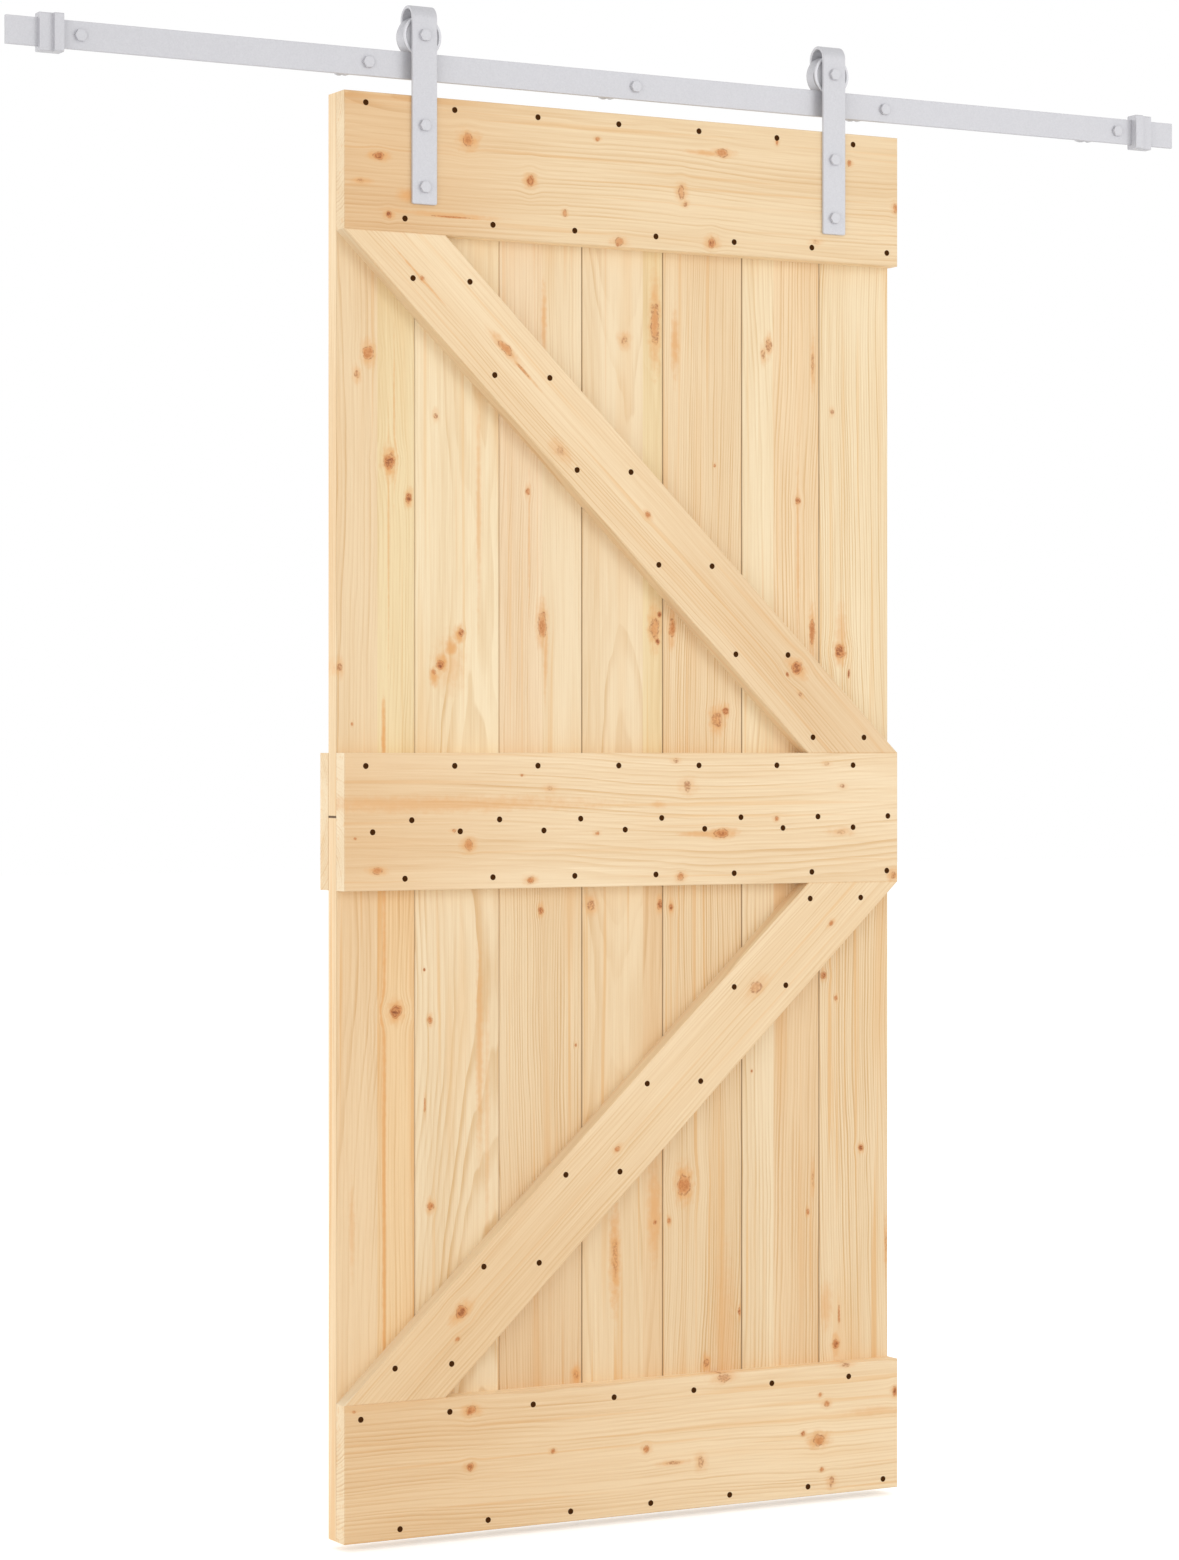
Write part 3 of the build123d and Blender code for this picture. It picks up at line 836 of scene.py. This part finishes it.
def addLeafScrews():
    material = bronzedScrew()
    size = leafScrews

    def rows(node, *pairs):
        drop = (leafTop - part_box(node)[1].z) / mm
        return [(right, drop + below) for below, row in pairs for right in size[row]]

    for name, (node, *pairs) in battenScrews.items():
        screwBoard(name, rows(node, *pairs), material)
    for name, pairs in (("upperBraceScrews", "upperPairs"), ("lowerBraceScrews", "lowerPairs")):
        places = [(right, below) for below, *spots in size[pairs] for right in spots]
        screwBoard(name, places, material)


def bronzedScrew():
    material, tree, shader, objectPlace = newMaterial("bronzedScrew")
    look = leafScrews
    mottle = noise(tree, objectPlace, look["mottle"], 2.0).outputs["Fac"]
    feed(tree, shader.inputs["Base Color"], mixed(tree, mottle, look["dark"], look["light"]))
    feed(tree, shader.inputs["Roughness"], smoothRange(tree, mottle, 0.2, 0.8, *look["roughness"]))
    shader.inputs["Specular IOR Level"].default_value = look["specular"]
    addBump(tree, shader, mottle, look["bumpDepth"], look["bumpStrength"])
    return material


# Satin grey coat on the steel, with a fine peel, soft clouds and faint scuffs
coats = {
    "grey_steel": {
        "pale": (0.60, 0.60, 0.63, 1), "deep": (0.52, 0.52, 0.55, 1), "metal": 0.12, "rough": 0.48,
    },
    "wheel_grey": {
        "pale": (0.68, 0.68, 0.71, 1), "deep": (0.60, 0.60, 0.63, 1), "metal": 0.15, "rough": 0.42,
        "paintedRimShade": 0.72,    # painted shade: tread and rims are darker than the sides
    },
}
coatLook = {
    "clouds": (14.0, 14.0, 14.0),
    "peel": (1500.0, 1500.0, 1500.0),
    "scuff": (26.0, 260.0, 190.0),
    "speckle": (460.0, 460.0, 460.0),
    "scuffTone": 0.2,
    "speckleTone": 1.6,
    "scuffRough": 0.10,
    "scuffHeight": 0.5,
    "bumpDepth": 0.00006,
    "bumpStrength": 0.35,
}


def makeSatinCoat():
    inputs = {"Place": "Vector", "Pale": "Color", "Deep": "Color", "Base Roughness": "Float"}
    group, given, made = newGroup("satinCoat", inputs, lookOutputs)
    clouds = noise(group, given["Place"], coatLook["clouds"], 3.0).outputs["Fac"]
    peel = noise(group, given["Place"], coatLook["peel"], 2.0).outputs["Fac"]
    scuff = noise(group, given["Place"], coatLook["scuff"], 3.0, 0.65).outputs["Fac"]
    scuff = smoothRange(group, scuff, 0.58, 0.78)
    speckle = noise(group, given["Place"], coatLook["speckle"], 2.0, 0.7).outputs["Fac"]
    tone = smoothRange(group, clouds, 0.25, 0.75, 0.2, 0.6)
    tone = calc(group, "ADD", tone, calc(group, "MULTIPLY", scuff, coatLook["scuffTone"]))
    tone = calc(group, "ADD", tone, centred(group, speckle, coatLook["speckleTone"]))
    feed(group, made["Color"], mixed(group, tone, given["Deep"], given["Pale"]))
    rough = calc(group, "MULTIPLY", scuff, coatLook["scuffRough"])
    rough = calc(group, "ADD", given["Base Roughness"], rough)
    rough = calc(group, "ADD", rough, smoothRange(group, clouds, 0.3, 0.7, -0.04, 0.04))
    feed(group, made["Roughness"], rough)
    height = calc(group, "MULTIPLY", scuff, coatLook["scuffHeight"])
    feed(group, made["Height"], calc(group, "ADD", peel, height))
    return group


def coatMaterial(name):
    coat = coats[name]
    material, tree, shader, objectPlace = newMaterial(name + "_coat")
    look = placeGroup(tree, satinCoat, {
        "Place": objectPlace, "Pale": coat["pale"], "Deep": coat["deep"], "Base Roughness": coat["rough"],
    })
    # painted shade on tread and rims, none on faces to the front and back
    paintedRimShade = smoothRange(tree, frontShare(tree), *edgeTurn, coat.get("paintedRimShade", 1.0), 1.0)
    feed(tree, shader.inputs["Base Color"], mixed(tree, 1.0, look["Color"], paintedRimShade, "MULTIPLY"))
    feed(tree, shader.inputs["Roughness"], look["Roughness"])
    shader.inputs["Metallic"].default_value = coat["metal"]
    addBump(tree, shader, look["Height"], coatLook["bumpDepth"], coatLook["bumpStrength"])
    return material


def dressHardware():
    materials = {name: coatMaterial(name) for name in coats}
    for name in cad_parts:
        if name.endswith("_wheel"):
            dress(name, materials["wheel_grey"])
        elif not name.endswith(("_batten", "_brace")) and "_plank_" not in name:
            dress(name, materials["grey_steel"])
    return materials


# Wood screw thread on the wall bolts, and fine thread on the free ends of axles and hanger bolts
threads = {
    "wallRadius": 4.4 * mm, "wallHeight": 0.7 * mm, "wallPitch": 3.6 * mm, "wallLength": 18 * mm,
    "endRadius": 4.85 * mm, "endHeight": 0.35 * mm, "endPitch": 1.2 * mm, "endLength": 2.6 * mm,
    "steps": 20,            # in a turn
    "flank": 0.32,          # half a thread's foot, as a share of its pitch
    "wallScrews": 5,
    "wallGap": 1.6 * mm,    # from a tube's end to the first turn
    "boltHeadHalf": 8 * mm,
}


def thread(bm, start, radius, height, pitch, length):
    # a small triangle wound about Y
    foot = pitch * threads["flank"]
    reach = (radius, -foot), (radius + height, 0.0), (radius, foot)
    corners = [bm.verts.new((start.x + out, start.y + run, start.z)) for out, run in reach]
    edges = [bm.edges.new((corners[i], corners[(i + 1) % 3])) for i in range(3)]
    turns = length / pitch
    steps = round(turns * threads["steps"])
    wound = bmesh.ops.spin(
        bm, geom=corners + edges, cent=start, axis=(0, 1, 0), dvec=(0, length / steps, 0),
        angle=turns * 2 * math.pi, steps=steps, use_merge=False, use_duplicate=False,
    )
    last = [item for item in wound["geom_last"] if isinstance(item, bmesh.types.BMEdge)]
    for ring in (edges, last):
        bmesh.ops.contextual_create(bm, geom=ring)


def threadPiece(name, starts, kind, body, material):
    bm = bmesh.new()
    for start in starts:
        thread(bm, start, *[threads[kind + word] for word in ("Radius", "Height", "Pitch", "Length")])
    bmesh.ops.recalc_face_normals(bm, faces=bm.faces)
    piece = meshObject(bm, name, material)
    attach(piece, body)


def addThreads(material):
    wallStarts = []
    for number in range(1, threads["wallScrews"] + 1):
        low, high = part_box(f"rail_spacer_{number}")
        wallStarts.append(Vector(((low.x + high.x) / 2, high.y + threads["wallGap"], (low.z + high.z) / 2)))
    threadPiece("wallScrewThreads", wallStarts, "wall", "wall_rail", material)
    endStarts = []
    for side in ("left", "right"):
        low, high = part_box(side + "_hanger_bolts")
        axleLow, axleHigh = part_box(side + "_axle")
        middle = (low.x + high.x) / 2
        half = threads["boltHeadHalf"]
        for end, level in ((high.y, low.z + half), (high.y, high.z - half), (axleHigh.y, axleLow.z + half)):
            endStarts.append(Vector((middle, end - threads["endLength"], level)))
    threadPiece("boltEndThreads", endStarts, "end", "door", material)


# Build, stage by stage
setCamera()
setStudio()
print("camera, floor and light set")
knotWhorl = makeKnotWhorl()
pineGrain = makePineGrain()
dressLeaf()
print("leaf dressed in pine")
satinCoat = makeSatinCoat()
steel = dressHardware()
addThreads(steel["grey_steel"])
print("hardware coated")
addLeafScrews()
print("screws set")

bpy.context.scene.view_settings.view_transform = "Standard"
